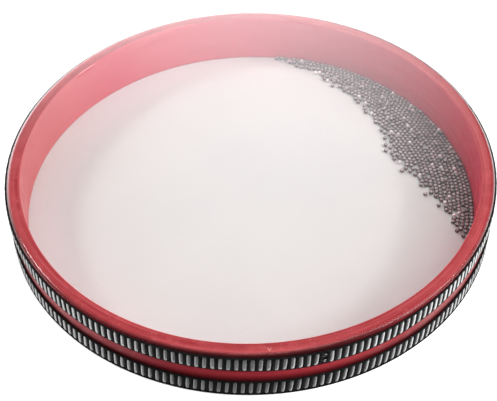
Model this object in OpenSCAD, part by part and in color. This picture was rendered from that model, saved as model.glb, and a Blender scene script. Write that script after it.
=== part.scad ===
// Ocean drum: a bent-wood hoop closed by a white head below and a clear head above,
// with loose steel shot that rolls between them.
// Millimetres. The drum stands on its white head at z = 0, with its axis along Z.
// Angles are measured round Z from +X; the front of the drum faces -Y.

/* [Hoop] */
// Outer diameter of the bent wood hoop
hoop_od = 254; // [200:1:400]
// Thickness of the hoop's wall
hoop_wall = 7.2; // [6:0.1:12]
// Height of the wooden hoop
hoop_h = 29.5; // [28:0.5:60]
// Radius of the hoop's rounded upper outer edge
hoop_top_r = 2.2; // [0.6:0.1:2.5]
// Radius of the hoop's rounded lower outer edge
hoop_foot_r = 1; // [0.6:0.1:2]
// Radius of the hoop's eased inner edges
hoop_inner_r = 0.5; // [0.2:0.1:1.5]

/* [Heads] */
// Thickness of the clear film head
clear_t = 0.25; // [0.15:0.05:0.5]
// Thickness of the white head
white_t = 0.3; // [0.15:0.05:0.6]
// How far each head's skirt stops short of the braid's far edge
skirt_tuck = 1.5; // [0.5:0.1:3]

/* [Braids] */
// Width of each braid from selvedge to selvedge
braid_w = 9.5; // [8:0.1:12]
// Bare skirt between the clear head's face and the upper braid
upper_margin = 1.5; // [0.6:0.1:2]
// Bare skirt between the white head's face and the lower braid
lower_margin = 0.4; // [0.4:0.1:2]
// Thickness of the woven backing tape
tape_t = 0.6; // [0.5:0.05:1]
// Diameter of the corded selvedges
selvedge_d = 0.8; // [0.7:0.1:1.4]
// Width of a silver cord
silver_w = 1.9; // [1.2:0.1:2.2]
// Width of a black cord
black_w = 1.5; // [1:0.1:1.8]
// How far the silver cords stand out of the tape
silver_rise = 0.65; // [0.3:0.05:0.9]
// How far the black cords stand out of the tape
black_rise = 0.45; // [0.2:0.05:0.8]
// Distance from one silver cord to the next on the upper braid
upper_pitch = 3.65; // [3.5:0.05:6]
// Distance from one silver cord to the next on the lower braid
lower_pitch = 3.72; // [3.5:0.05:6]
// Where the upper braid's two ends meet
upper_join_deg = -75.5; // [-180:0.5:180]
// Where the lower braid's two ends meet
lower_join_deg = 96; // [-180:0.5:180]
// Gap between a braid's two ends
join_gap = 0.4; // [0.2:0.1:1]

/* [Staples] */
// Staples that hold each head to the hoop
staple_count = 24; // [8:2:40]
// Width of a staple across its two legs
staple_w = 8; // [5:0.5:10]
// Width of the staple's flat wire
wire_w = 0.9; // [0.6:0.1:1.2]
// Thickness of the staple's flat wire
wire_t = 0.3; // [0.2:0.05:0.4]
// Length of a staple's legs in the wood
leg_l = 5; // [3:0.5:5.5]

/* [Steel shot] */
// Diameter of one bead
shot_d = 2.3; // [2:0.1:3]
// Free space that each bead has to its neighbours
shot_gap = 0.14; // [0.1:0.02:0.3]
// Gap between the beads and the wall or head that they lie against
shot_rest_gap = 0.05; // [0.02:0.01:0.1]
// How far the bank of beads reaches in from the wall
bank_depth = 34; // [10:1:40]
// Angle at which the bank begins
bank_from_deg = -18; // [-40:1:-5]
// Angle at which the bank is deepest
bank_peak_deg = 19; // [5:1:40]
// Angle at which the bank ends
bank_to_deg = 82; // [60:1:110]
// Below this angle the beads belong to the leading group
lead_split_deg = 1; // [-4:1:4]
// Above this angle the beads belong to the trailing group
trail_split_deg = 55; // [45:1:58]
// Distance of the first stray bead from the drum's axis
stray_a_r = 83.5; // [40:0.5:84]
// Angle of the first stray bead
stray_a_deg = 23.4; // [20:0.1:30]
// Distance of the second stray bead from the drum's axis
stray_b_r = 85.7; // [40:0.5:86]
// Angle of the second stray bead
stray_b_deg = 11.4; // [8:0.1:14]
// Free ring round each stray bead
stray_clear = 1.1; // [0.5:0.1:2]
// Number that the scatter of the beads starts from
shot_seed = 17; // [1:1:99]

/* [Hidden] */
$fn = 96;

// Heights, from the white head's face up
hoop_r = hoop_od / 2;
hoop_inner = hoop_r - hoop_wall;
hoop_z0 = white_t;
hoop_z1 = hoop_z0 + hoop_h;
drum_h = hoop_z1 + clear_t;
lower_braid_z = lower_margin;
upper_braid_z = drum_h - upper_margin - braid_w;
upper_skirt_h = upper_margin + braid_w - skirt_tuck;
lower_skirt_h = lower_margin + braid_w - skirt_tuck;

// Radii, from the hoop's outer face out
upper_skirt_r = hoop_r + clear_t;
lower_skirt_r = hoop_r + white_t;

// The staples' crowns lie behind the middle of each braid, and the tape gives way over them
crown_ease = 0.1;
upper_staple_z = upper_braid_z + braid_w / 2;
lower_staple_z = lower_braid_z + braid_w / 2;
staple_step = 360 / staple_count;

// The cords run between the two selvedges
cord_ease = 0.05;
cord_h = braid_w - 2 * selvedge_d - 2 * cord_ease;

// The beads are scattered over the bank, then pushed apart until none is closer than the pitch
pitch = shot_d + shot_gap;
row_step = pitch * sqrt(3) / 2;
wall_row_r = hoop_inner - shot_d / 2 - shot_rest_gap;
shot_z = hoop_z0 + shot_d / 2 + shot_rest_gap;
bead_fn = 32;
// How far a bead is scattered from its place in a row, as a share of the pitch
scatter_share = 0.5;
// Room that the scattered rows take, as a share of what nested rows take
loose_share = 1.03;
// A bead's neighbours are looked up again after every few pushes
settle_rounds = 5;
settle_pushes = 16;
push_share = 0.3;
look_share = 1.6;
// Smallest gap between two beads, as a share of their usual gap
least_gap_share = 0.2;
// Powers that the bank's edge follows on either side of its peak: below 1 keeps it full
lead_taper_share = 0.7;
trail_taper_share = 0.95;
// How far the bank's edge wanders, as a share of a bead's diameter
ragged_share = 2;
// Share of the floor layer's beads that is missing, and share of them that carry one more bead
missing_share = 0.02;
top_share = 0.09;
top_depth_share = 0.75;
// A hollow's three beads are at most this share of the pitch apart
hollow_share = 1.12;
// The top layer keeps this many degrees inside its group
top_inset_deg = 2;

function ring_point(r, deg) = [r * cos(deg), r * sin(deg)];

// How deep the bank is at an angle, from nothing at its two ends to bank_depth at its peak
function bank_reach(deg) =
    let(leads = deg < bank_peak_deg)
    let(span = leads ? bank_peak_deg - bank_from_deg : bank_to_deg - bank_peak_deg)
    let(share = 1 - abs(deg - bank_peak_deg) / span)
    share <= 0 ? 0 : bank_depth * pow(share, leads ? lead_taper_share : trail_taper_share);

strays = [ring_point(stray_a_r, stray_a_deg), ring_point(stray_b_r, stray_b_deg)];

function total(list) = [for (v = list) 1] * list;

// True where a point keeps at least this distance to every point of a list
function clear_of(p, others, least) =
    min(concat([least], [for (q = others) norm(p - q)])) >= least;

function scattered() =
    let(rows = floor(bank_depth / (row_step * loose_share)) + 1)
    [for (row = [0 : rows])
        let(r = wall_row_r - row * row_step * loose_share)
        let(step_deg = pitch * loose_share / r * 180 / PI)
        let(n = floor((bank_to_deg - bank_from_deg) / step_deg))
        let(luck = rands(0, 1, 3 * n + 1, shot_seed + row))
        for (i = [0 : n - 1])
            let(deg = bank_from_deg + (i + luck[3 * n]) * step_deg)
            let(edge = bank_reach(deg) + (luck[3 * i] - 1 / 2) * ragged_share * shot_d)
            if (wall_row_r - r <= edge)
                ring_point(r, deg)
                + ring_point(scatter_share * pitch * luck[3 * i + 1], 360 * luck[3 * i + 2])];

function neighbours(beads) =
    [for (i = [0 : len(beads) - 1])
        [for (j = [0 : len(beads) - 1])
            if (j != i && norm(beads[i] - beads[j]) < look_share * pitch) j]];

// One bead after a push from every neighbour that is too close, and back inside the wall
function pushed(p, near) =
    let(moved = p + total(concat([[0, 0]], [for (q = near)
        let(away = max(norm(p - q), shot_gap))
        if (away < pitch) push_share * (pitch / away - 1) * (p - q)])))
    moved * min(1, wall_row_r / norm(moved));

function relaxed(beads, near, pushes) =
    pushes == 0 ? beads
    : relaxed([for (i = [0 : len(beads) - 1]) pushed(beads[i], [for (j = near[i]) beads[j]])],
              near, pushes - 1);

function settled(beads, rounds) =
    rounds == 0 ? beads
    : settled(relaxed(beads, neighbours(beads), settle_pushes), rounds - 1);

// The points of a list that keep this distance to all that were kept before them
function sifted(points, least, kept, i) =
    i == len(points) ? kept
    : sifted(points, least, clear_of(points[i], kept, least) ? concat(kept, [points[i]]) : kept, i + 1);

function floor_beads() =
    let(all = settled(scattered(), settle_rounds))
    let(luck = rands(0, 1, len(all), 2 * shot_seed))
    let(kept = sifted(all, shot_d + least_gap_share * shot_gap, [], 0))
    [for (i = [0 : len(kept) - 1])
        if (luck[i] > missing_share && clear_of(kept[i], strays, shot_d + stray_clear)) kept[i]];

// The middle of the circle through three points
function ring_middle(a, b, c) =
    let(u = b - a, v = c - a, turn = 2 * cross(u, v))
    a + [v[1] * (u * u) - u[1] * (v * v), u[0] * (v * v) - v[0] * (u * u)] / turn;

// Top layer: beads in hollows between three floor beads, as [x, y, lift]
function hollows() =
    let(under = floor_beads())
    let(luck = rands(0, 1, len(under), 3 * shot_seed))
    [for (i = [0 : len(under) - 1])
        let(p = under[i], deg = atan2(p[1], p[0]))
        if (luck[i] < top_share
            && wall_row_r - norm(p) <= top_depth_share * bank_reach(deg)
            && deg > lead_split_deg + top_inset_deg && deg < trail_split_deg - top_inset_deg)
            let(near = [for (q = under) if (q != p && norm(q - p) < hollow_share * pitch) q])
            let(middles = [for (q = near, s = near)
                if (cross(q - p, s - p) > 0 && norm(q - s) < hollow_share * pitch) ring_middle(p, q, s)])
            if (len(middles) > 0) concat(middles[0], norm(middles[0] - p))];

function top_beads() =
    sifted([for (h = hollows()) [h[0], h[1], sqrt(pow(pitch, 2) - pow(h[2], 2))]], pitch, [], 0);

// Half of a board's section: flat on top, with its outer corner rounded
module rounded_slab(w, h, corner) {
    square([w - corner, h]);
    square([w, h - corner]);
    translate([w - corner, h - corner]) circle(corner);
}

module hoop() {
    color("firebrick")
    translate([0, 0, hoop_z0])
    rotate_extrude()
    translate([hoop_inner, 0])
    hoop_section();
}

// The hoop's section: its two outer corners are rounded more than its two inner ones
module hoop_section() {
    outer_w = hoop_wall - hoop_inner_r;
    translate([hoop_inner_r, 0]) square([outer_w - hoop_foot_r, hoop_h / 2]);
    translate([hoop_inner_r, hoop_h / 2]) square([outer_w - hoop_top_r, hoop_h / 2]);
    translate([hoop_inner_r, hoop_foot_r]) square([outer_w, hoop_h - hoop_foot_r - hoop_top_r]);
    translate([0, hoop_inner_r]) square([hoop_wall - hoop_top_r, hoop_h - 2 * hoop_inner_r]);
    translate([hoop_wall - hoop_foot_r, hoop_foot_r]) circle(hoop_foot_r);
    translate([hoop_wall - hoop_top_r, hoop_h - hoop_top_r]) circle(hoop_top_r);
    for (z = [hoop_inner_r, hoop_h - hoop_inner_r]) {
        translate([hoop_inner_r, z]) circle(hoop_inner_r);
    }
}

// A head's section with its face up: a disc whose edge turns down over the hoop into a skirt
module head_section(t, skirt, corner) {
    difference() {
        rounded_slab(hoop_r + t, skirt, corner + t);
        rounded_slab(hoop_r, skirt - t, corner);
    }
}

module clear_head() {
    color("lightcyan", 0.3)
    translate([0, 0, drum_h - upper_skirt_h])
    rotate_extrude()
    head_section(clear_t, upper_skirt_h, hoop_top_r);
}

module white_head() {
    color("whitesmoke")
    translate([0, 0, lower_skirt_h])
    mirror([0, 0, 1])
    rotate_extrude()
    head_section(white_t, lower_skirt_h, hoop_foot_r);
}

// A flat-wire staple, seen from above: its crown lies on the skirt and its legs enter the wood
module staple(skirt_r) {
    linear_extrude(wire_w, center = true) {
        translate([skirt_r, -staple_w / 2]) square([wire_t, staple_w]);
        for (y = [-staple_w / 2, staple_w / 2 - wire_t]) {
            translate([skirt_r - leg_l, y]) square([leg_l + wire_t, wire_t]);
        }
    }
}

// The hollow that a staple's crown presses into the back of the tape
module crown_hollow(skirt_r) {
    translate([skirt_r - wire_t, -staple_w / 2 - crown_ease, -wire_w / 2 - crown_ease])
        cube([2 * wire_t + crown_ease, staple_w + 2 * crown_ease, wire_w + 2 * crown_ease]);
}

module round_the_hoop(z) {
    for (i = [0 : staple_count - 1]) {
        translate([0, 0, z])
        rotate([0, 0, i * staple_step])
        children();
    }
}

module upper_staples() {
    color("silver") round_the_hoop(upper_staple_z) staple(upper_skirt_r);
}

module lower_staples() {
    color("silver") round_the_hoop(lower_staple_z) staple(lower_skirt_r);
}

// Backing tape with a corded selvedge at each edge, open at its join
module braid_tape(skirt_r, z, join_deg) {
    gap_deg = join_gap / skirt_r * 180 / PI;
    difference() {
        translate([0, 0, z])
        rotate([0, 0, join_deg + gap_deg / 2])
        rotate_extrude(angle = 360 - gap_deg)
        translate([skirt_r, 0])
        tape_section();
        round_the_hoop(z + braid_w / 2) crown_hollow(skirt_r);
    }
}

module tape_section() {
    translate([0, selvedge_d / 2]) square([tape_t, braid_w - selvedge_d]);
    for (z = [selvedge_d / 2, braid_w - selvedge_d / 2]) {
        translate([selvedge_d / 2, z]) circle(selvedge_d / 2);
    }
}

// One raised cord across the tape: flat at the back and round in front
module cord(w, rise) {
    round_r = (pow(w / 2, 2) + pow(rise, 2)) / (2 * rise);
    linear_extrude(cord_h)
    intersection() {
        translate([rise - round_r, 0]) circle(round_r);
        translate([0, -w / 2]) square([rise, w]);
    }
}

// Cords round the drum; the first place lies at the join, and shift moves all by a share
module cord_ring(skirt_r, z, join_deg, step, shift_share, w, rise) {
    tape_r = skirt_r + tape_t;
    count = floor(2 * PI * tape_r / step);
    first = shift_share > 0 ? 0 : 1;
    for (i = [first : count - 1]) {
        rotate([0, 0, join_deg + (i + shift_share) * 360 / count])
        translate([tape_r, 0, z + selvedge_d + cord_ease])
        cord(w, rise);
    }
}

module upper_braid_tape() {
    color("#1c1c1e") braid_tape(upper_skirt_r, upper_braid_z, upper_join_deg);
}

module upper_silver_cords() {
    color("gainsboro")
    cord_ring(upper_skirt_r, upper_braid_z, upper_join_deg, upper_pitch, 0, silver_w, silver_rise);
}

module upper_black_cords() {
    color("#2a2a2e")
    cord_ring(upper_skirt_r, upper_braid_z, upper_join_deg, upper_pitch, 1 / 2, black_w, black_rise);
}

module lower_braid_tape() {
    color("#1c1c1e") braid_tape(lower_skirt_r, lower_braid_z, lower_join_deg);
}

module lower_silver_cords() {
    color("gainsboro")
    cord_ring(lower_skirt_r, lower_braid_z, lower_join_deg, lower_pitch, 0, silver_w, silver_rise);
}

module lower_black_cords() {
    color("#2a2a2e")
    cord_ring(lower_skirt_r, lower_braid_z, lower_join_deg, lower_pitch, 1 / 2, black_w, black_rise);
}

module bead(p, lift) {
    translate([p[0], p[1], shot_z + lift]) sphere(d = shot_d, $fn = bead_fn);
}

module bead_group(from_deg, to_deg) {
    for (b = floor_beads()) {
        deg = atan2(b[1], b[0]);
        if (deg >= from_deg && deg < to_deg) bead(b, 0);
    }
}

module shot_bank() {
    color("dimgray") bead_group(lead_split_deg, trail_split_deg);
}

module shot_lead() {
    color("dimgray") bead_group(bank_from_deg, lead_split_deg);
}

module shot_trail() {
    color("dimgray") bead_group(trail_split_deg, bank_to_deg);
}

module shot_top_layer() {
    color("gray") for (b = top_beads()) bead(b, b[2]);
}

module stray_bead_a() {
    color("dimgray") bead(strays[0], 0);
}

module stray_bead_b() {
    color("dimgray") bead(strays[1], 0);
}

hoop();
clear_head();
white_head();
upper_staples();
lower_staples();
upper_braid_tape();
upper_silver_cords();
upper_black_cords();
lower_braid_tape();
lower_silver_cords();
lower_black_cords();
shot_bank();
shot_lead();
shot_trail();
shot_top_layer();
stray_bead_a();
stray_bead_b();
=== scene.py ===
import math

import bmesh
import bpy
import numpy as np
from mathutils import Euler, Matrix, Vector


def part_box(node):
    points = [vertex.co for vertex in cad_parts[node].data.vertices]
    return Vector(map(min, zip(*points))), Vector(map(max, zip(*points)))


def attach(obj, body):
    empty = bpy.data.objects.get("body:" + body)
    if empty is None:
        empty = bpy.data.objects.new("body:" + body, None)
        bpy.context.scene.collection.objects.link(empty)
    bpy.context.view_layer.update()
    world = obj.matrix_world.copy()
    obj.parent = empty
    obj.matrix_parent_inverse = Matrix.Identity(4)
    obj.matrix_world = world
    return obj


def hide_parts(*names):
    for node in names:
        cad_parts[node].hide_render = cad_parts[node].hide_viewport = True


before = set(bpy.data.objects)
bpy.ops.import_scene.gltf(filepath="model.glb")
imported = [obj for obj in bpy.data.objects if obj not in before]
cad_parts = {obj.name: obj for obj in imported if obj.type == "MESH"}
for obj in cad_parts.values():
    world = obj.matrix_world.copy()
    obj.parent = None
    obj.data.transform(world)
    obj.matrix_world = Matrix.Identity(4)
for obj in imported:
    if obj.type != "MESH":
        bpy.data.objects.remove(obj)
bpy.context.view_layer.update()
print("frame loaded")

mm = 0.001


# node helpers

class Wire:
    # a node's output socket, for maths written as plain expressions
    def __init__(self, recipe, socket):
        self.recipe = recipe
        self.socket = socket

    def maths(self, operation, *values):
        return self.recipe.node("ShaderNodeMath", {"operation": operation},
                                dict(enumerate(values)))

    def __add__(self, other):
        return self.maths("ADD", self, other)

    def __sub__(self, other):
        return self.maths("SUBTRACT", self, other)

    def __mul__(self, other):
        return self.maths("MULTIPLY", self, other)

    def __truediv__(self, other):
        return self.maths("DIVIDE", self, other)

    def __pow__(self, other):
        return self.maths("POWER", self, other)

    def __rsub__(self, other):
        return self.maths("SUBTRACT", other, self)

    def __abs__(self):
        return self.maths("ABSOLUTE", self)

    __radd__ = __add__
    __rmul__ = __mul__


class Recipe:
    # a node tree under construction
    def __init__(self, owner):
        owner.use_nodes = True
        self.owner = owner
        self.tree = owner.node_tree
        self.tree.nodes.clear()

    def node(self, kind, settings=None, sockets=None, output=0):
        made = self.tree.nodes.new(kind)
        for key, value in (settings or {}).items():
            setattr(made, key, value)
        for key, value in (sockets or {}).items():
            if isinstance(value, Wire):
                self.tree.links.new(value.socket, made.inputs[key])
            else:
                made.inputs[key].default_value = value
        return Wire(self, made.outputs[output])

    def mix(self, share, first, second):
        # share 0 gives the first colour and 1 the second
        first, second = [c if isinstance(c, Wire) else (*c, 1) for c in (first, second)]
        return self.node("ShaderNodeMix", {"data_type": "RGBA"},
                         {0: share, 6: first, 7: second}, 2)

    def noise(self, place, scale, detail=2, roughness=0.5):
        return self.node("ShaderNodeTexNoise", {}, {"Vector": place, "Scale": scale,
                         "Detail": detail, "Roughness": roughness})

    def ease(self, value, low, high, start=0, end=1):
        # goes smoothly from start to end while the value goes from low to high
        return self.node("ShaderNodeMapRange", {"interpolation_type": "SMOOTHSTEP"},
                         {0: value, 1: low, 2: high, 3: start, 4: end})

    def bump(self, height, distance, strength=1):
        return self.node("ShaderNodeBump", {}, {"Height": height, "Distance": distance,
                         "Strength": strength})

    def surface(self, **sockets):
        named = {key.replace("_", " "): value for key, value in sockets.items()}
        return self.node("ShaderNodeBsdfPrincipled", {}, named)

    def finish(self, shader):
        isRoom = isinstance(self.owner, bpy.types.World)
        kind = "ShaderNodeOutputWorld" if isRoom else "ShaderNodeOutputMaterial"
        end = self.tree.nodes.new(kind)
        self.tree.links.new(shader.socket, end.inputs["Surface"])
        return self.owner


def newRecipe(name):
    return Recipe(bpy.data.materials.new(name))


def splitVector(recipe, vector):
    return [recipe.node("ShaderNodeSeparateXYZ", {}, {0: vector}, i) for i in range(3)]


def splitPlace(recipe):
    # the object's own x, y and z in metres
    place = recipe.node("ShaderNodeTexCoord", {}, {}, 3)
    return place, splitVector(recipe, place)


def planRadius(x, y):
    return (x * x + y * y) ** 0.5


# mesh helpers

def makePiece(name, points, faces, finish, body, slotName, standsFor=(), weld=False):
    mesh = bpy.data.meshes.new(name)
    mesh.from_pydata([tuple(p) for p in points], [], faces)
    work = bmesh.new()
    work.from_mesh(mesh)
    if weld:
        bmesh.ops.remove_doubles(work, verts=work.verts, dist=1e-7)
    bmesh.ops.recalc_face_normals(work, faces=work.faces)
    work.to_mesh(mesh)
    work.free()
    mesh.shade_smooth()
    mesh.materials.append(finish)
    piece = bpy.data.objects.new(name, mesh)
    bpy.context.scene.collection.objects.link(piece)
    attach(piece, body)
    if standsFor:
        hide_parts(*standsFor)
    return piece


def gridFaces(rows, columns, loopRows, first):
    # quads between the points of a grid that is stored row by row; each row is a loop
    i = np.arange(rows if loopRows else rows - 1)[:, None]
    j = np.arange(columns)[None, :]
    nextI, nextJ = (i + 1) % rows, (j + 1) % columns
    quads = [i * columns + j, i * columns + nextJ, nextI * columns + nextJ, nextI * columns + j]
    return (np.stack(quads, -1).reshape(-1, 4) + first).tolist()


def addLoft(pile, rings, closed=False):
    # rings: rows of points that become one tube, which is closed or has flat ends
    points, faces = pile
    rows, columns = rings.shape[:2]
    first = len(points)
    points.extend(rings.reshape(-1, 3).tolist())
    faces.extend(gridFaces(rows, columns, closed, first))
    if not closed:
        faces.append(list(range(first, first + columns)))
        last = first + (rows - 1) * columns
        faces.append(list(range(last + columns - 1, last - 1, -1)))


def addTube(pile, path, radius, sides):
    # a round thread along a path; radius may change along it
    ahead = np.roll(path, -1, 0) - np.roll(path, 1, 0)
    ahead[0], ahead[-1] = path[1] - path[0], path[-1] - path[-2]
    ahead /= np.linalg.norm(ahead, axis=1)[:, None]
    outward = path * (1, 1, 0)
    outward /= np.linalg.norm(outward, axis=1)[:, None]
    side = np.cross(ahead, outward)
    side /= np.maximum(np.linalg.norm(side, axis=1), 1e-9)[:, None]
    rise = np.cross(side, ahead)
    turn = np.arange(sides) * 2 * math.pi / sides
    radius = np.broadcast_to(np.asarray(radius, float), len(path))[:, None, None]
    rings = path[:, None] + radius * (np.cos(turn)[None, :, None] * side[:, None]
                                      + np.sin(turn)[None, :, None] * rise[:, None])
    addLoft(pile, rings)


def lathe(profile, angles, reach=None):
    # profile: a closed loop of (r, z); reach moves a point outwards by its angle and its place
    rings = []
    for angle in angles:
        r, z = profile[:, 0], profile[:, 1]
        if reach is not None:
            r = r + reach(angle, profile)
        rings.append(np.stack([r * math.cos(angle), r * math.sin(angle), z], -1))
    return np.array(rings)


def around(r, turn, height):
    # points at a radius, an angle and a height
    return np.stack([r * np.cos(turn), r * np.sin(turn), height], -1)


def cornerArc(centre, radius, fromDeg, toDeg, steps):
    turn = np.radians(np.linspace(fromDeg, toDeg, steps + 1))
    return [(centre[0] + radius * math.cos(t), centre[1] + radius * math.sin(t)) for t in turn]


def evenAngles(count):
    return np.arange(count) * 2 * math.pi / count


def waves(angles, counts, sizes, seed):
    # a smooth wobble round the drum that closes on itself
    luck = np.random.RandomState(seed)
    return sum(size * np.sin(count * angles + luck.uniform(0, 2 * math.pi))
               for count, size in zip(counts, sizes))


# camera and studio

view = {
    "place": (0, -0.41718, 0.43250),
    "turnDeg": (43.7855, 0.8079, -0.6661),
    "lens": 79.984,
}
camera = bpy.data.objects.new("camera", bpy.data.cameras.new("camera"))
camera.data.lens = view["lens"]
camera.data.clip_start = 0.01
camera.location = view["place"]
camera.rotation_euler = Euler([math.radians(a) for a in view["turnDeg"]])
bpy.context.scene.collection.objects.link(camera)
bpy.context.scene.camera = camera
bpy.context.scene.view_settings.view_transform = "Standard"

studio = {
    "room": 0.05,             # dim light from every side
    "ground": 0.05,           # light that comes up from in front of the drum
    "groundLeft": 1.25,       # and from the table beside and behind it
    "groundRight": 2.1,
    "groundEaseX": (-0.2, 0.2),
    "groundEaseY": (-0.36, -0.16),
    "backdrop": 2.6,          # bright backdrop behind the drum, which the clear head mirrors
    "backdropAzimuth": 112,
    "backdropHalfDeg": (15, 45),
    "backdropTopDeg": (33, 47),
    "backdropTilt": 0.16,     # its top edge falls towards the left
    "backdropTint": (1, 0.955, 1),
    "glow": 0.55,             # its soft upper part, mirrored by the middle of the clear head
    "glowAzimuth": 89,
    "glowElevation": 42,
    "glowHalfDeg": (3, 12),
    "overhead": 3.1,          # large soft light above the right front
    "overheadAzimuth": -30,
    "overheadElevation": 70,
    "overheadHalfDeg": (12, 38),
    "horizon": 0.65,          # pale band behind the floor's far edge
    "horizonTopDeg": (9, 14),
    "horizonEase": (-0.02, 0.02),
    "rightBox": {"azimuth": -16, "elevation": 37, "distance": 2.4, "size": (1.2, 0.7),
                 "radiance": 6},
    # a long strip, mirrored as a thin line by the folded film
    "rightStrip": {"azimuth": -12, "elevation": 37, "distance": 2.4, "size": (1.7, 0.12),
                   "radiance": 28},
    "leftBox": {"azimuth": 161, "elevation": 41, "distance": 2.4, "size": (0.5, 0.5),
                "radiance": 25},
    # soft fill from above the back, near enough to fade towards the front; never mirrored
    "backFill": {"azimuth": 97, "elevation": 59, "distance": 0.58, "size": (0.5, 0.3),
                 "radiance": 0.8},
    "floorColour": (0.93, 0.93, 0.93),
    "floorGlow": 0.5,
    "floorRoughness": 0.9,
    "floorSize": 8,
    "floorDrop": 0.05 * mm,   # the drum stands just above it
}


def sines(degrees):
    return [math.sin(math.radians(a)) for a in degrees]


def cosines(degrees):
    return [math.cos(math.radians(a)) for a in degrees]


def makeRoomLight():
    world = bpy.data.worlds.new("studio")
    bpy.context.scene.world = world
    recipe = Recipe(world)
    x, y, z = splitVector(recipe, recipe.node("ShaderNodeTexCoord", {}, {}, 0))
    middle = math.radians(studio["backdropAzimuth"])
    inner, outer = cosines(studio["backdropHalfDeg"])
    towards = (x * math.cos(middle) + y * math.sin(middle)) / planRadius(x, y)
    tilted = z - x * studio["backdropTilt"]
    backdrop = recipe.ease(tilted, *sines(studio["backdropTopDeg"]), 1, 0) \
        * recipe.ease(towards, outer, inner)

    def patch(name):
        # a soft round patch of light
        middle, tilt = [math.radians(studio[name + key]) for key in ("Azimuth", "Elevation")]
        inner, outer = cosines(studio[name + "HalfDeg"])
        towards = (x * math.cos(middle) + y * math.sin(middle)) * math.cos(tilt) \
            + z * math.sin(tilt)
        return recipe.ease(towards, outer, inner) * studio[name]

    above = recipe.ease(z, *studio["horizonEase"])
    beside = recipe.ease(x, *studio["groundEaseX"], studio["groundLeft"], studio["groundRight"])
    ground = recipe.ease(y, *studio["groundEaseY"]) * beside + studio["ground"]
    horizon = recipe.ease(z, *sines(studio["horizonTopDeg"]), studio["horizon"], 0)
    others = (patch("overhead") + patch("glow") + horizon + studio["room"]) * above \
        + (1 - above) * ground
    backdrop = backdrop * above * studio["backdrop"]
    strength = backdrop + others
    tint = recipe.mix(backdrop / strength, (1, 1, 1), studio["backdropTint"])
    light = recipe.node("ShaderNodeBackground", {}, {"Color": tint, "Strength": strength})
    recipe.finish(light)


def makeSoftBox(name, box, mirrored=True):
    lamp = bpy.data.lights.new(name, "AREA")
    lamp.shape = "RECTANGLE"
    lamp.size, lamp.size_y = box["size"]
    lamp.energy = box["radiance"] * math.pi * lamp.size * lamp.size_y
    light = bpy.data.objects.new(name, lamp)
    a, e = math.radians(box["azimuth"]), math.radians(box["elevation"])
    light.location = [box["distance"] * c for c in
                      (math.cos(a) * math.cos(e), math.sin(a) * math.cos(e), math.sin(e))]
    light.rotation_euler = Euler((math.pi / 2 - e, 0, a + math.pi / 2))
    light.visible_glossy = mirrored
    bpy.context.scene.collection.objects.link(light)


def makeFloor():
    half = studio["floorSize"] / 2
    mesh = bpy.data.meshes.new("floor")
    mesh.from_pydata([(-half, -half, 0), (half, -half, 0), (half, half, 0), (-half, half, 0)],
                     [], [(0, 1, 2, 3)])
    floor = bpy.data.objects.new("floor", mesh)
    floor.location.z = -studio["floorDrop"]
    recipe = newRecipe("paleFloor")
    colour = (*studio["floorColour"], 1)
    mesh.materials.append(recipe.finish(recipe.surface(
        Base_Color=colour, Roughness=studio["floorRoughness"], Emission_Color=colour,
        Emission_Strength=studio["floorGlow"])))
    bpy.context.scene.collection.objects.link(floor)
    # the floor shows white but throws no light of its own on the drum
    floor.visible_diffuse = False
    floor.visible_glossy = False


makeRoomLight()
makeSoftBox("right_box", studio["rightBox"])
makeSoftBox("right_strip", studio["rightStrip"])
makeSoftBox("left_box", studio["leftBox"])
makeSoftBox("back_fill", studio["backFill"], mirrored=False)
makeFloor()
print("camera and studio ready")


# painted hoop

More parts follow.
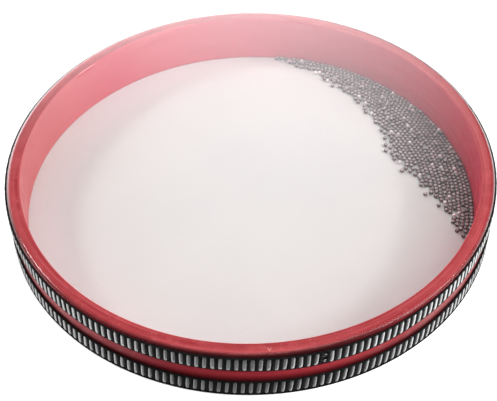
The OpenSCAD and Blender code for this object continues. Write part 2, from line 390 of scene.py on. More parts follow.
hoopLow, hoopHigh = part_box("hoop")
hoopRadius = hoopHigh.x
paint = {
    # a pair or four numbers: where a tint starts and ends, and its shares there
    "red": (0.445, 0.062, 0.070),
    "deepRed": (0.32, 0.020, 0.027),
    "paleRed": (0.56, 0.095, 0.105),
    "streakAlong": 1.6,                      # streaks run slowly round the hoop
    "streakAcross": 1000,                    # and fast across its wall
    "streakNoise": (3, 0.62),
    "streakDark": (0.3, 0.62),
    "streakPale": (0.52, 0.72, 0, 0.85),
    "mottleScale": 150,
    "mottleNoise": (4, 0.6),
    "mottlePale": (0.5, 0.72, 0, 0.45),
    "mottleDark": (0.45, 0.28, 0, 0.25),
    "speckRed": (0.80, 0.32, 0.30),
    "speckStretch": (90, 90, 0.6),
    "speck": (0.68, 0.74, 0, 0.35),
    "outsideRed": (0.80, 0.054, 0.080),      # the outer face at the front left
    "outsideShadedRed": (0.46, 0.012, 0.020),  # darker towards the right and the back, as painted shade
    "outsideShadedX": (20 * mm, 80 * mm),
    "outsideShadedY": (0, 60 * mm),
    "outsideReach": (-0.5 * mm, -0.1 * mm),  # from the outer face
    "insideRed": (0.78, 0.045, 0.105),       # the inner face painted lighter, as painted light
    "insideDeepRed": (0.70, 0.032, 0.08),
    "insideStreak": (0.3, 0.7),
    "insideReach": (0.6 * mm, 0.1 * mm),     # from the inner face
    "faceShare": 0.85,                       # how far both faces take their own tints
    "leftLitRed": (0.84, 0.25, 0.26),          # painted light: the inner face is paler at the left
    "leftLitX": (-75 * mm, -118 * mm, 0, 0.9),
    "topReach": (-0.9 * mm, -0.4 * mm),      # from the hoop's top
    "edgeHighlightRed": (0.92, 0.50, 0.50),           # painted highlight: the inner top edge is pale at the near side
    "edgeHighlightY": (-45 * mm, -90 * mm),
    "edgeHighlightScale": 70,
    "edgeHighlightPatch": (0.3, 0.5, 0.35, 0.75),
    "edgeHighlightAt": 0.15 * mm,                     # from the inner face
    "edgeHighlightWidth": (0.5 * mm, 0.15 * mm),
    "lineAt": 1.0 * mm,                      # a darker line runs beside the painted highlight
    "lineWidth": (0.6 * mm, 0.1 * mm, 0, 0.35),
    "darkRed": (0.02, 0.004, 0.005),
    "foldReach": (-2.6 * mm, 0),             # painted shade under the film's fold
    "foldZ": (26.0 * mm, 27.5 * mm),
    "foldShade": (30 * mm, 85 * mm, 0.95, 0.55),   # the painted shade's share, by the distance to either side
    "lowShadeReach": (-2.4 * mm, -1.6 * mm),
    "lowShadeZ": (16 * mm, 10.2 * mm, 0, 0.85),       # painted shade, fading out above the lower braid
    "chipDeg": -86.7,
    "chipRadius": 123.7 * mm,
    "chipSize": 0.95 * mm,
    "chipSlope": 0.45,
    "chipStroke": (0.2 * mm, 0.1 * mm, 0, 0.8),
    "chipColour": (0.80, 0.50, 0.36),
    "roughness": (0.3, 0.7, 0.31, 0.48),
    "specular": 0.12,
    "streakRelief": 0.7,
    "mottleRelief": 0.3,
    "relief": (0.12 * mm, 0.5),
}


def makeRedPaint():
    recipe = newRecipe("redPaint")
    place, (x, y, z) = splitPlace(recipe)
    radius = planRadius(x, y)
    innerFace = hoopRadius - hoopShape["wall"]

    def easeFrom(value, start, reach):
        return recipe.ease(value, start + reach[0], start + reach[1])

    # no seam at the far side, since the streaks follow x and y round the drum
    along = paint["streakAlong"]
    ring = recipe.node("ShaderNodeCombineXYZ", {}, {
        0: x / radius * along, 1: y / radius * along, 2: (radius - z) * paint["streakAcross"]})
    streak = recipe.noise(ring, 1, *paint["streakNoise"])
    mottle = recipe.noise(place, paint["mottleScale"], *paint["mottleNoise"])
    colour = recipe.mix(recipe.ease(streak, *paint["streakDark"]), paint["deepRed"], paint["red"])
    colour = recipe.mix(recipe.ease(streak, *paint["streakPale"]), colour, paint["paleRed"])
    colour = recipe.mix(recipe.ease(mottle, *paint["mottlePale"]), colour, paint["paleRed"])
    colour = recipe.mix(recipe.ease(mottle, *paint["mottleDark"]), colour, paint["deepRed"])
    # the outer face, with painted shade towards the right and the back, and the inner face,
    # painted lighter as painted light
    # painted shade: the outer face is darker towards the right and the back
    unshadedShare = (1 - recipe.ease(x, *paint["outsideShadedX"])) \
        * (1 - recipe.ease(y, *paint["outsideShadedY"]))
    outsideTint = recipe.mix(unshadedShare, paint["outsideShadedRed"], paint["outsideRed"])
    outside = easeFrom(radius, hoopRadius, paint["outsideReach"])
    colour = recipe.mix(outside * paint["faceShare"], colour, outsideTint)
    # painted light: the inner face is lighter than the rest of the hoop
    insideTint = recipe.mix(recipe.ease(streak, *paint["insideStreak"]),
                            paint["insideDeepRed"], paint["insideRed"])
    # painted light, paler towards the left
    insideTint = recipe.mix(recipe.ease(x, *paint["leftLitX"]), insideTint, paint["leftLitRed"])
    inside = easeFrom(radius, innerFace, paint["insideReach"])
    colour = recipe.mix(inside * paint["faceShare"], colour, insideTint)
    # small pale specks
    speckPlace = recipe.node("ShaderNodeVectorMath", {"operation": "MULTIPLY"},
                             {0: ring, 1: paint["speckStretch"]})
    speck = recipe.ease(recipe.noise(speckPlace, 1, 1), *paint["speck"])
    colour = recipe.mix(speck, colour, paint["speckRed"])
    # the painted highlight along the inner top edge and the darker line beside it
    onTop = easeFrom(z, hoopHigh.z, paint["topReach"])
    edge = recipe.ease(abs(radius - innerFace - paint["edgeHighlightAt"]), *paint["edgeHighlightWidth"]) * onTop
    highlightShare = recipe.ease(recipe.noise(place, paint["edgeHighlightScale"], 2), *paint["edgeHighlightPatch"]) \
        * recipe.ease(y, *paint["edgeHighlightY"])
    colour = recipe.mix(edge * highlightShare, colour, paint["edgeHighlightRed"])
    line = recipe.ease(abs(radius - innerFace - paint["lineAt"]), *paint["lineWidth"]) * onTop
    colour = recipe.mix(line, colour, paint["deepRed"])
    # a small V-shaped chip in the rim
    turn = math.radians(paint["chipDeg"])
    chipX = x - paint["chipRadius"] * math.cos(turn)
    chipY = y - paint["chipRadius"] * math.sin(turn)
    outward = chipX * math.cos(turn) + chipY * math.sin(turn)
    aside = abs(chipY * math.cos(turn) - chipX * math.sin(turn))
    fromStroke = abs(aside - (paint["chipSize"] - outward) * paint["chipSlope"])
    chip = recipe.ease(fromStroke, *paint["chipStroke"]) \
        * recipe.ease(abs(outward), paint["chipSize"], paint["chipSize"] * 0.9)
    colour = recipe.mix(chip, colour, paint["chipColour"])
    # painted shade above the lower braid, and painted shade under the film's fold
    lowShade = recipe.ease(z, *paint["lowShadeZ"]) * easeFrom(radius, hoopRadius, paint["lowShadeReach"])
    colour = recipe.mix(lowShade, colour, paint["darkRed"])
    fold = easeFrom(radius, hoopRadius, paint["foldReach"]) * recipe.ease(z, *paint["foldZ"])
    shade = recipe.ease(abs(x), *paint["foldShade"])
    colour = recipe.mix(fold * shade, colour, paint["darkRed"])
    height = streak * paint["streakRelief"] + mottle * paint["mottleRelief"]
    return recipe.finish(recipe.surface(
        Base_Color=colour, Roughness=recipe.ease(mottle, *paint["roughness"]),
        Specular_IOR_Level=paint["specular"], Normal=recipe.bump(height, *paint["relief"])))


hoopShape = {
    "wall": 7.2 * mm,
    "topEase": 2.2 * mm,
    "footEase": 1.0 * mm,
    "innerEase": 0.55 * mm,
    "underFilm": 0.03 * mm,   # the wood stops just short of the film round it
    # the inner face keeps the slow wobble of a bent strip, and never nears the beads
    "wobbleCounts": (2, 3, 7, 19),
    "wobble": (0.05 * mm, 0.04 * mm, 0.02 * mm, 0.012 * mm),
    "wobbleWidth": 2 * mm,
    "steps": 480,
    "easeSteps": 6,
    "sideSteps": 10,
}


def makeHoop():
    shape = hoopShape
    outer, inner = hoopRadius - shape["underFilm"], hoopRadius - shape["wall"]
    top, foot = hoopHigh.z - shape["underFilm"], hoopLow.z + shape["underFilm"]
    topEase, footEase, innerEase = shape["topEase"], shape["footEase"], shape["innerEase"]
    steps = shape["easeSteps"]
    profile = cornerArc((outer - topEase, top - topEase), topEase, 0, 90, 2 * steps)
    profile += cornerArc((inner + innerEase, top - innerEase), innerEase, 90, 180, steps)
    profile += [(inner, z) for z in np.linspace(top - innerEase, foot + innerEase,
                                                shape["sideSteps"])[1:-1]]
    profile += cornerArc((inner + innerEase, foot + innerEase), innerEase, 180, 270, steps)
    profile += cornerArc((outer - footEase, foot + footEase), footEase, 270, 360, steps)
    profile = np.array(profile)
    angles = evenAngles(shape["steps"])

    def reach(angle, profile):
        inside = np.clip((inner - profile[:, 0]) / shape["wobbleWidth"] + 1, 0, 1)
        wobble = waves(angle, shape["wobbleCounts"], shape["wobble"], 5)
        return inside * (wobble + sum(shape["wobble"]))

    pile = ([], [])
    addLoft(pile, lathe(profile, angles, reach), closed=True)
    makePiece("hoop_wood", *pile, makeRedPaint(), "drum", "red_painted_wood", ["hoop"])


makeHoop()
print("hoop made")


# clear head

filmLow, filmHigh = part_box("clear_head")
film = {
    "mirrorFacing": 0.055,      # share of light that one face mirrors straight on
    "mirrorGrazing": 0.75,
    "foldFacing": 0.003,        # the folded edge is scuffed and mirrors less
    "foldReach": (2.4 * mm, 1.7 * mm),
    "roughness": 0.09,
    "edgeEase": 2.2 * mm,
    "steps": 720,
    "arcSteps": 14,
    "skirtSteps": 6,
    "middleSteps": 8,
    "waveStep": 0.3 * mm,
    "ripple": 0.10 * mm,        # the turned edge is puckered between the rim and the braid
    "rippleFade": 0.4 * mm,
    "rippleWidth": (2.2 * mm, 2 * mm),
    "rippleCounts": (9, 31, 53, 88),
    "rippleSizes": (0.18, 0.16, 0.12, 0.1),
    "pleats": 26,
    "pleatWidth": (0.012, 0.03),
    "pleatDepth": 0.6,
    "waveFrom": 108 * mm,       # the flat film is slightly wavy near the rim
    "waveFade": 6 * mm,
    "wave": 0.012 * mm,
    "waveLength": 1.9 * mm,
    "creaseDeg": (138, 145),
    "creaseRadius": 118.6 * mm,
    "creaseSlant": 0.4 * mm,
    "creaseWidth": 0.45 * mm,
    "crease": 0.09 * mm,
}


def makeClearFilm():
    recipe = newRecipe("clearFilm")
    facing = recipe.node("ShaderNodeLayerWeight", {}, {"Blend": 0.5}, 1)
    _, (x, y, _) = splitPlace(recipe)
    fold = recipe.ease(planRadius(x, y), *[hoopRadius - far for far in film["foldReach"]])
    mirror = facing ** 3 * film["mirrorGrazing"] \
        + fold * (film["foldFacing"] - film["mirrorFacing"]) + film["mirrorFacing"]
    return recipe.finish(recipe.surface(
        Base_Color=(1, 1, 1, 1), Metallic=1, Roughness=film["roughness"], Alpha=mirror))


def headProfile(spokes, outside, inside, skirt, thick, faceZ, backZ):
    # the section of a film disc with a turned edge, as one closed loop
    return np.array(
        [(r, faceZ) for r in spokes] + outside + [(hoopRadius + thick, z) for z in skirt]
        + [(hoopRadius, z) for z in skirt[::-1]] + inside + [(r, backZ) for r in spokes[::-1]])


def makeClearHead():
    thick = filmHigh.z - hoopHigh.z
    ease = film["edgeEase"]
    flatTo = hoopRadius - ease
    centre = (flatTo, hoopHigh.z - ease)
    outside = cornerArc(centre, ease + thick, 90, 0, film["arcSteps"])
    inside = cornerArc(centre, ease, 0, 90, film["arcSteps"])
    spokes = np.concatenate([np.linspace(0, film["waveFrom"], film["middleSteps"])[:-1],
                             np.arange(film["waveFrom"], flatTo, film["waveStep"])])
    skirt = np.linspace(centre[1], filmLow.z, film["skirtSteps"])[1:]
    profile = headProfile(spokes, outside, inside, skirt, thick, filmHigh.z, hoopHigh.z)
    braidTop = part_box("upper_braid_tape")[1].z
    luck = np.random.RandomState(8)
    pleats = [(luck.uniform(-math.pi, math.pi), luck.uniform(*film["pleatWidth"]))
              for _ in range(film["pleats"])]
    angles = evenAngles(film["steps"])

    def reach(angle, profile):
        r, z = profile[:, 0], profile[:, 1]
        back, span = film["rippleWidth"]
        share = np.clip((z - braidTop) / film["rippleFade"], 0, 1) \
            * np.clip((r - hoopRadius + back) / span, 0, 1)
        push = waves(angle, film["rippleCounts"], film["rippleSizes"], 3)
        for where, width in pleats:
            away = (angle - where + math.pi) % (2 * math.pi) - math.pi
            push += film["pleatDepth"] * math.exp(-(away / width) ** 2)
        return film["ripple"] * share * push

    rings = lathe(profile, angles, reach)
    # slight waves in the flat film near the rim
    r, z = profile[None, :, 0], profile[None, :, 1]
    onFace = (z > hoopHigh.z - 1e-6) \
        * np.clip((r - film["waveFrom"]) / film["waveFade"], 0, 1) \
        * np.clip((flatTo - r) / mm, 0, 1)
    phase = waves(angles, (3, 8), (2, 1), 4)[:, None]
    height = waves(angles, (5, 12, 23, 37), (0.3, 0.3, 0.2, 0.2), 12)[:, None]
    lift = 1 + height * np.sin(r / film["waveLength"] + phase)
    # and one crease
    first, last = [math.radians(a) for a in film["creaseDeg"]]
    across = (angles[:, None] - (first + last) / 2) / ((last - first) / 2)
    aside = r - film["creaseRadius"] - film["creaseSlant"] * across
    ridge = np.exp(-(aside / film["creaseWidth"]) ** 2) * np.clip(1 - across ** 4, 0, 1)
    rings[:, :, 2] += onFace * (film["wave"] * lift + film["crease"] * ridge)
    pile = ([], [])
    addLoft(pile, rings, closed=True)
    makePiece("clear_film", *pile, makeClearFilm(), "drum", "clear_film", ["clear_head"],
              weld=True)


makeClearHead()
print("clear head made")


# white head

whiteLow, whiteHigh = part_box("white_head")
whiteHead = {
    "warmPatch": (0.645, 0.64, 0.625),
    "coolPatch": (0.63, 0.625, 0.618),
    "paleFibre": (0.70, 0.70, 0.69),
    "cloudScale": 14,
    "cloud": (0.35, 0.65),
    "fibreScale": 1400,
    "fibre": (0.4, 0.75, 0, 0.25),
    "roughness": (0.3, 0.7, 0.37, 0.50),
    "relief": (0.02 * mm, 0.3),
    "edgeEase": 1.0 * mm,
    "steps": 480,
    "arcSteps": 8,
    "skirtSteps": 5,
    "faceSteps": 9,
}


def makeWhiteFilm():
    recipe = newRecipe("whiteFilm")
    place, _ = splitPlace(recipe)
    cloud = recipe.noise(place, whiteHead["cloudScale"], 3, 0.55)
    fibre = recipe.noise(place, whiteHead["fibreScale"], 3, 0.7)
    colour = recipe.mix(recipe.ease(cloud, *whiteHead["cloud"]), whiteHead["coolPatch"],
                        whiteHead["warmPatch"])
    colour = recipe.mix(recipe.ease(fibre, *whiteHead["fibre"]), colour, whiteHead["paleFibre"])
    return recipe.finish(recipe.surface(
        Base_Color=colour, Roughness=recipe.ease(cloud, *whiteHead["roughness"]),
        Normal=recipe.bump(fibre, *whiteHead["relief"])))


def makeWhiteHead():
    thick = hoopLow.z - whiteLow.z
    ease = whiteHead["edgeEase"]
    centre = (hoopRadius - ease, hoopLow.z + ease)
    outside = cornerArc(centre, ease + thick, 270, 360, whiteHead["arcSteps"])
    inside = cornerArc(centre, ease, 360, 270, whiteHead["arcSteps"])
    spokes = np.linspace(0, 1, whiteHead["faceSteps"])[:-1] * centre[0]
    skirt = np.linspace(centre[1], whiteHigh.z, whiteHead["skirtSteps"])[1:]
    profile = headProfile(spokes, outside, inside, skirt, thick, whiteLow.z, hoopLow.z)
    pile = ([], [])
    addLoft(pile, lathe(profile, evenAngles(whiteHead["steps"])), closed=True)
    makePiece("white_film", *pile, makeWhiteFilm(), "drum", "white_film", ["white_head"],
              weld=True)


makeWhiteHead()
print("white head made")


# staples

staple = {
    "dark": (0.46, 0.46, 0.47),
    "pale": (0.66, 0.66, 0.67),
    "drawnScale": 2500,
    "roughness": (0.3, 0.7, 0.25, 0.4),
}


def makeStapleSteel():
    recipe = newRecipe("stapleWire")
    place, _ = splitPlace(recipe)
    drawn = recipe.noise(place, staple["drawnScale"], 2)
    return recipe.finish(recipe.surface(
        Base_Color=recipe.mix(drawn, staple["dark"], staple["pale"]), Metallic=1,
        Roughness=recipe.ease(drawn, *staple["roughness"])))


stapleSteel = makeStapleSteel()
for node in ("upper_staples", "lower_staples"):
    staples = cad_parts[node]
    staples.data.materials.clear()
    staples.data.materials.append(stapleSteel)


# braids

braidLook = {
    "tape": 0.30 * mm,
    "tapeBack": 0.02 * mm,
    "weaveColumns": 880,
    "weaveRows": 19,
    "weaveInset": 0.4 * mm,
    "weaveLow": 0.05 * mm,        # the woven ground goes under and over by this much
    "weaveHigh": 0.07 * mm,
    "joinGap": 0.08 * mm,
    "silverWidth": 1.74 * mm, "silverRise": 0.52 * mm, "silverThreads": 5, "silverTwist": 0.5,
    "blackWidth": 1.55 * mm, "blackRise": 0.55 * mm, "blackThreads": 3, "blackTwist": 4,
    "cordBelow": 0.3 * mm,        # how far the cords' ends reach past the solids'
    "cordAbove": 0.45 * mm,
    "cordBack": 0.06 * mm,
    "threadDepth": 0.055 * mm,
    "crown": 0.44,                # how far a cord's sides lie below its middle
    "ringSteps": 25,
    "lengthSteps": 13,
    "unevenWidth": 0.04,
    "unevenRise": 0.08,
    "unevenEnd": 0.12,            # mm
    "unevenDeg": 1.6,
    "edgeStrand": 0.23 * mm,
    "edgeDeep": 0.14 * mm,
    "edgeHigh": 0.17 * mm,
    "edgeTwists": 430,
    "edgeOut": 0.24 * mm,
    "edgeFoot": 0.3 * mm,
    "edgeTop": 0.35 * mm,
    "topStrand": 0.24 * mm,       # one more strand lies over the cords' upper ends
    "topStrandOut": 0.50 * mm,
    "topStrandBelow": 0.6 * mm,
}
braids = [
    {"name": "upper", "places": 220, "joinDeg": -75.5, "leanDeg": 3.0, "skirt": "clear_head",
     "dip": 0.85 * mm, "dipDeg": -71, "dipHalfDeg": 17, "lift": 0, "footOut": 0},
    {"name": "lower", "places": 216, "joinDeg": 96.0, "leanDeg": 4.5, "skirt": "white_head",
     "dip": 0, "dipDeg": 0, "dipHalfDeg": 1, "lift": 0.6 * mm, "footOut": 0.25 * mm},
]


satin = {
    "dark": (0.50, 0.505, 0.515),
    "pale": (0.78, 0.78, 0.78),
    "bright": (0.86, 0.86, 0.86),
    "brightGrain": (0.35, 0.7, 0, 0.4),
    "lowBraidShade": (0.18, 0.18, 0.19),   # painted shade: the lower braid is darker
    "lowBraidShadeZ": (16 * mm, 12 * mm, 0, 0.3),
    "grainScale": 2200,
    "roughness": (0.3, 0.7, 0.28, 0.42),
    "metallic": 0.85,
    "relief": (0.05 * mm, 0.5),
}
thread = {
    "grainScale": 2600,
    "grain": (0.4, 0.75),
    "lintScale": 600,
    "lint": (0.58, 0.75, 0, 0.5),
    "roughness": (0.3, 0.7, 0.55, 0.8),
    "specular": 0.15,
    "relief": (0.08 * mm, 0.7),
}


def makeSilverSatin():
    recipe = newRecipe("silverSatin")
    place, (_, _, z) = splitPlace(recipe)
    chance = recipe.node("ShaderNodeNewGeometry", {}, {}, 8)
    grain = recipe.noise(place, satin["grainScale"], 2, 0.6)
    colour = recipe.mix(chance, satin["dark"], satin["pale"])
    colour = recipe.mix(recipe.ease(grain, *satin["brightGrain"]), colour, satin["bright"])
    # painted shade, darker towards the bottom
    colour = recipe.mix(recipe.ease(z, *satin["lowBraidShadeZ"]), colour, satin["lowBraidShade"])
    return recipe.finish(recipe.surface(
        Base_Color=colour, Metallic=satin["metallic"],
        Roughness=recipe.ease(grain, *satin["roughness"]),
        Normal=recipe.bump(grain, *satin["relief"])))


def makeBlackThread(name, colour, paleColour):
    recipe = newRecipe(name)
    place, _ = splitPlace(recipe)
    grain = recipe.noise(place, thread["grainScale"], 3, 0.65)
    lint = recipe.ease(recipe.noise(place, thread["lintScale"], 2), *thread["lint"])
    tint = recipe.mix(recipe.ease(grain, *thread["grain"]), colour, paleColour)
    tint = recipe.mix(lint, tint, paleColour)
    return recipe.finish(recipe.surface(
        Base_Color=tint, Roughness=recipe.ease(grain, *thread["roughness"]),
        Specular_IOR_Level=thread["specular"],
        Normal=recipe.bump(grain, *thread["relief"])))


silverSatin = makeSilverSatin()
blackBraid = makeBlackThread("blackBraid", (0.003, 0.0032, 0.0035), (0.013, 0.0135, 0.014))
blackCord = makeBlackThread("blackCord", (0.004, 0.0042, 0.0045), (0.018, 0.0185, 0.02))


def dipped(braid, points):
    # the braid hangs a little lower over a stretch beside its join
    turn = np.degrees(np.arctan2(points[..., 1], points[..., 0])) - braid["dipDeg"]
    turn = (turn + 180) % 360 - 180
    points = points * 1.0
    points[..., 2] -= braid["dip"] * np.exp(-(turn / braid["dipHalfDeg"]) ** 4)
    return points


def wrap(braid, points, radius, angle):
    # (along, out, up) at an angle round the drum
    along, out, up = np.moveaxis(points, -1, 0)
    return dipped(braid, around(radius + out, angle + along / radius, up))


def cordRings(kind, low, high, lean, luck):
    # one float of threads across the tape: flat behind, ridged in front, tucked in at its ends
    width, rise = braidLook[kind + "Width"], braidLook[kind + "Rise"]
    side = np.linspace(-1, 1, braidLook["ringSteps"])
    up = np.linspace(0, 1, braidLook["lengthSteps"])
    # the rings lie closer together towards both ends
    up = 0.5 - 0.5 * np.cos(math.pi * up) * (0.55 + 0.45 * np.abs(np.cos(math.pi * up)))
    width = width * (1 + luck.uniform(-1, 1) * braidLook["unevenWidth"])
    rise = rise * (1 + luck.uniform(-1, 1) * braidLook["unevenRise"])
    low = low + luck.uniform(-1, 1) * braidLook["unevenEnd"] * mm
    high = high + luck.uniform(-1, 1) * braidLook["unevenEnd"] * mm
    lean = lean + math.radians(luck.uniform(-1, 1) * braidLook["unevenDeg"])
    phase = luck.uniform(0, 1)
    full = (1 - np.abs(2 * up - 1) ** np.where(up > 0.5, 2.6, 3.4)) ** 0.5
    full = np.maximum(full, 0.0)[:, None]
    strand = side[None] * braidLook[kind + "Threads"] / 2 + phase \
        + braidLook[kind + "Twist"] * up[:, None]
    ridge = np.abs(np.sin(math.pi * strand)) - 0.5
    depth = braidLook["threadDepth"] * ridge * (0.4 + 0.6 * full)
    across = side[None] * width / 2 * (0.72 + 0.28 * full)
    out = (1 - braidLook["crown"] * side[None] ** 2) * rise * (0.28 + 0.72 * full) + depth
    height = low + (high - low) * up[:, None]
    along = across + (height - (low + high) / 2) * math.tan(lean)
    front = np.stack([along, out, height + 0 * along], -1)
    back = front[:, [-1, 0]] * 1.0
    back[..., 1] = -braidLook["cordBack"]
    return np.concatenate([front, back], 1)


def makeCords(braid, kind):
    silver = kind == "silver"
    node = f"{braid['name']}_{kind}_cords"
    low, high = [corner.z + braid["lift"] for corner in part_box(node)]
    low, high = low - braidLook["cordBelow"], high + braidLook["cordAbove"]
    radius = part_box(braid["skirt"])[1].x + braidLook["tape"]
    luck = np.random.RandomState(41 if silver else 57)
    pile = ([], [])
    # one silver cord is missing at the join
    for i in range(1 if silver else 0, braid["places"]):
        share = i if silver else i + 0.5
        angle = math.radians(braid["joinDeg"] + share * 360 / braid["places"])
        rings = cordRings(kind, low, high, math.radians(braid["leanDeg"]), luck)
        addLoft(pile, wrap(braid, rings, radius, angle))
    makePiece(f"{node}_woven", *pile, silverSatin if silver else blackCord, "drum",
              "silver_satin" if silver else "black_cord", [node])


def makeTape(braid):
    look = braidLook
    node = f"{braid['name']}_braid_tape"
    low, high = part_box(node)
    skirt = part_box(braid["skirt"])[1].x
    join = math.radians(braid["joinDeg"])
    halfGap = look["joinGap"] / skirt
    top = high.z + braid["lift"]
    pile = ([], [])
    # the woven ground, as a band with a fine over and under relief
    angles = join + np.linspace(halfGap, 2 * math.pi - halfGap, look["weaveColumns"])
    heights = np.linspace(low.z + look["weaveInset"], top - look["weaveInset"],
                          look["weaveRows"])
    z = np.concatenate([heights, [heights[-1], heights[0]]])
    rings = []
    for i, angle in enumerate(angles):
        over = (np.arange(len(heights)) + i) % 2 * look["weaveHigh"]
        front = skirt + look["tape"] - look["weaveLow"] + over
        r = np.concatenate([front, [skirt + look["tapeBack"]] * 2])
        rings.append(around(r, angle, z))
    addLoft(pile, dipped(braid, np.array(rings)))
    # both selvedges: two strands twisted round each other
    turns = look["edgeTwists"]
    travel = np.linspace(halfGap, 2 * math.pi - halfGap, turns * 6)
    for height, hand, out in ((low.z + look["edgeFoot"], 1, braid["footOut"]),
                              (top - look["edgeTop"], -1, 0)):
        for strand in (0, math.pi):
            twist = hand * turns * travel + strand
            r = skirt + look["edgeOut"] + out + look["edgeDeep"] * np.cos(twist)
            path = around(r, join + travel, height + look["edgeHigh"] * np.sin(twist))
            addTube(pile, dipped(braid, path), look["edgeStrand"], 6)
    # the strand over the cords' upper ends
    r = skirt + look["topStrandOut"] + waves(travel, (110, 217), (0.04 * mm, 0.04 * mm), 6)
    height = top - look["topStrandBelow"] \
        + waves(travel, (97, 180), (0.03 * mm, 0.04 * mm), 7)
    path = around(r, join + travel, height)
    addTube(pile, dipped(braid, path), look["topStrand"], 6)
    makePiece(f"{node}_woven", *pile, blackBraid, "drum", "black_braid", [node])


for braid in braids:
    makeTape(braid)
    makeCords(braid, "silver")
    makeCords(braid, "black")
    print(braid["name"], "braid made")


# loose thread ends at the join

joinThreads = [
    # three points as (degrees from the join, height in mm), and how many mm it stands out
    {"from": (-0.25, 26.6), "via": (0.25, 27.3), "to": (0.5, 26.2), "out": 0.7},
    {"from": (-0.45, 21.8), "via": (0.0, 22.9), "to": (0.45, 21.9), "out": 0.6},
    {"from": (-0.30, 20.8), "via": (0.1, 21.5), "to": (0.35, 20.7), "out": 0.5},
]
joinLook = {
    "steps": 12,
    "sides": 7,
    "offTape": 0.05,              # mm
    "thickness": 0.17 * mm,       # a thread's radius at its middle
}


def makeJoinThreads():
    braid = braids[0]
    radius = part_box(braid["skirt"])[1].x + braidLook["tape"]
    pile = ([], [])
    for strand in joinThreads:
        ends = np.array([strand["from"], strand["via"], strand["to"]])
        t = np.linspace(0, 1, joinLook["steps"])
        early, middle, late = (1 - t) ** 2, 2 * t * (1 - t), t ** 2
        turnDeg, height = early * ends[0][:, None] + middle * ends[1][:, None] \
            + late * ends[2][:, None]
        out = joinLook["offTape"] + strand["out"] * np.sin(math.pi * t) ** 0.7
        path = around(radius + out * mm, np.radians(braid["joinDeg"] + turnDeg), height * mm)
        thickness = joinLook["thickness"] * (0.6 + 0.4 * np.sin(math.pi * t))
        addTube(pile, dipped(braid, path), thickness, joinLook["sides"])
    makePiece("upper_join_threads", *pile, silverSatin, "drum", "silver_satin")


makeJoinThreads()
print("join made")


# steel shot

shot = {
    "radius": 1.15 * mm,
    "unevenShare": 0.018,
    "wornSpot": (0.93, 0.99),
    "under": (0.075, 0.052, 0.056),
    "dark": (0.29, 0.245, 0.25),
    "pale": (0.55, 0.48, 0.49),
    "crown": (0.3, 0.85),         # painted light and shade: lighter on top and darker below
    "scuffed": (0.07, 0.055, 0.055),
    "scuffScale": 900,
    "scuff": (0.5, 0.8, 0, 0.4),
    # polished beads; their pale colour is a painted glint
    "polishedGlint": (0.82, 0.79, 0.79),
    "polishedAbove": (0.935, 0.945),   # beads whose chance lies above this are bright
    "polishedGloss": 0.25,
    "roughness": (0.35, 0.7, 0.38, 0.5),
    "metallic": 0.2,
    "loosened": ("shot_bank", "shot_lead", "shot_trail"),
    "loose": 1.7 * mm,            # beads at the bank's inner side have rolled up to this far
    # the rest are multiples of the beads' radius
    "neighbour": 3.12,
    "onOthers": 1.2,
    "blocked": 1.1,
    "apart": 2.04,
    "crowd": 4,                   # beads with more neighbours stay
}


def makeShotSteel():
    recipe = newRecipe("shotSteel")
    place, _ = splitPlace(recipe)
    chance = recipe.node("ShaderNodeNewGeometry", {}, {}, 8)
    scuff = recipe.noise(place, shot["scuffScale"], 2, 0.5)
    normal = recipe.node("ShaderNodeTexCoord", {}, {}, 1)
    upwards = splitVector(recipe, normal)[2]
    colour = recipe.mix(chance, shot["dark"], shot["pale"])
    # painted light and shade: beads lighter on top, darker below
    colour = recipe.mix(recipe.ease(upwards, *shot["crown"]), shot["under"], colour)
    colour = recipe.mix(recipe.ease(scuff, *shot["scuff"]), colour, shot["scuffed"])
    # painted glint: a few polished beads are pale
    bright = recipe.ease(chance, *shot["polishedAbove"])
    colour = recipe.mix(bright, colour, shot["polishedGlint"])
    rough = recipe.ease(scuff, *shot["roughness"]) - bright * shot["polishedGloss"]
    return recipe.finish(recipe.surface(
        Base_Color=colour, Metallic=shot["metallic"], Roughness=rough))


def beadCentres(node):
    # every bead is one island of its node's mesh
    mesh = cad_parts[node].data
    points = np.empty(len(mesh.vertices) * 3)
    mesh.vertices.foreach_get("co", points)
    edges = np.empty(len(mesh.edges) * 2, int)
    mesh.edges.foreach_get("vertices", edges)
    points = points.reshape(-1, 3)
    _, same = np.unique(np.round(points / 1e-6).astype(int), axis=0, return_inverse=True)
    same = same.reshape(-1)
    a, b = same[edges.reshape(-1, 2)].T
    label = np.arange(same.max() + 1)
    while True:
        lowest = np.minimum(label[a], label[b])
        before = label.copy()
        np.minimum.at(label, a, lowest)
        np.minimum.at(label, b, lowest)
        label = label[label]
        if (label == before).all():
            break
    owner = label[same]
    centres = []
    for island in np.unique(owner):
        own = points[owner == island]
        centres.append((own.min(0) + own.max(0)) / 2)
    return np.array(centres)


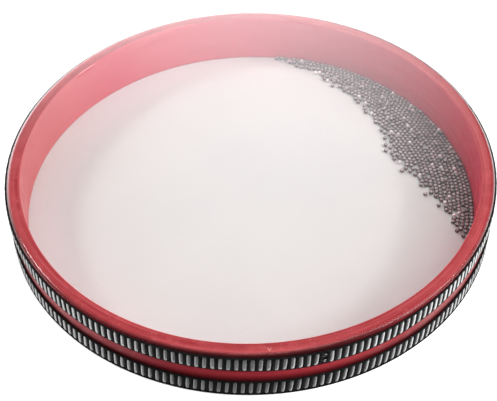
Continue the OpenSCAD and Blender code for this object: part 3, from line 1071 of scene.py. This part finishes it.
def loosen(centres, luck):
    # beads on the side towards the drum's middle lie a little apart, each in free space
    radius = shot["radius"]
    for i in luck.permutation(len(centres)):
        gaps = centres - centres[i]
        far = np.linalg.norm(gaps, axis=1)
        near = (far < shot["neighbour"] * radius) & (far > 0)
        roll, way = luck.uniform(0, 1, 2)
        inwards = -centres[i] * (1, 1, 0) / np.linalg.norm(centres[i][:2])
        if centres[i][2] > shot["onOthers"] * radius + whiteHigh.z or near.sum() > shot["crowd"]:
            continue
        if near.any() and (gaps[near] @ inwards).max() > shot["blocked"] * radius:
            continue
        aside = np.cross(inwards, (0, 0, 1)) * (way - 0.5)
        moved = centres[i] + (inwards + aside) * shot["loose"] * roll ** 1.5
        others = np.delete(centres, i, 0)
        if np.linalg.norm(others - moved, axis=1).min() > shot["apart"] * radius:
            centres[i] = moved
    return centres


def makeBead():
    work = bmesh.new()
    bmesh.ops.create_icosphere(work, subdivisions=3, radius=1)
    points = np.array([v.co[:] for v in work.verts])
    faces = np.array([[v.index for v in f.verts] for f in work.faces])
    work.free()
    return points, faces


def makeShot(node, body, seed):
    luck = np.random.RandomState(seed)
    ball, ballFaces = makeBead()
    pile = ([], [])
    centres = beadCentres(node)
    if node in shot["loosened"]:
        centres = loosen(centres, luck)
    for centre in centres:
        stretch = 1 + luck.uniform(-1, 0.4, 3) * shot["unevenShare"]
        turn = np.array(Euler(luck.uniform(0, 2 * math.pi, 3)).to_matrix())
        flat = luck.uniform(*shot["wornSpot"])
        bead = ball * stretch
        bead[:, 2] = np.minimum(bead[:, 2], flat)
        first = len(pile[0])
        pile[0].extend((bead @ turn.T * shot["radius"] + centre).tolist())
        pile[1].extend((ballFaces + first).tolist())
    makePiece(f"{node}_steel", *pile, shotSteel, body, "steel_shot", [node])
    print(node, len(pile[0]) // len(ball), "beads")


shotSteel = makeShotSteel()
shotGroups = [
    ("shot_bank", "bank"), ("shot_lead", "lead"), ("shot_trail", "trail"),
    ("shot_top_layer", "top_layer"), ("stray_bead_a", "stray_a"), ("stray_bead_b", "stray_b"),
]
for seed, (node, body) in enumerate(shotGroups):
    makeShot(node, body, seed)


print("all pieces made")
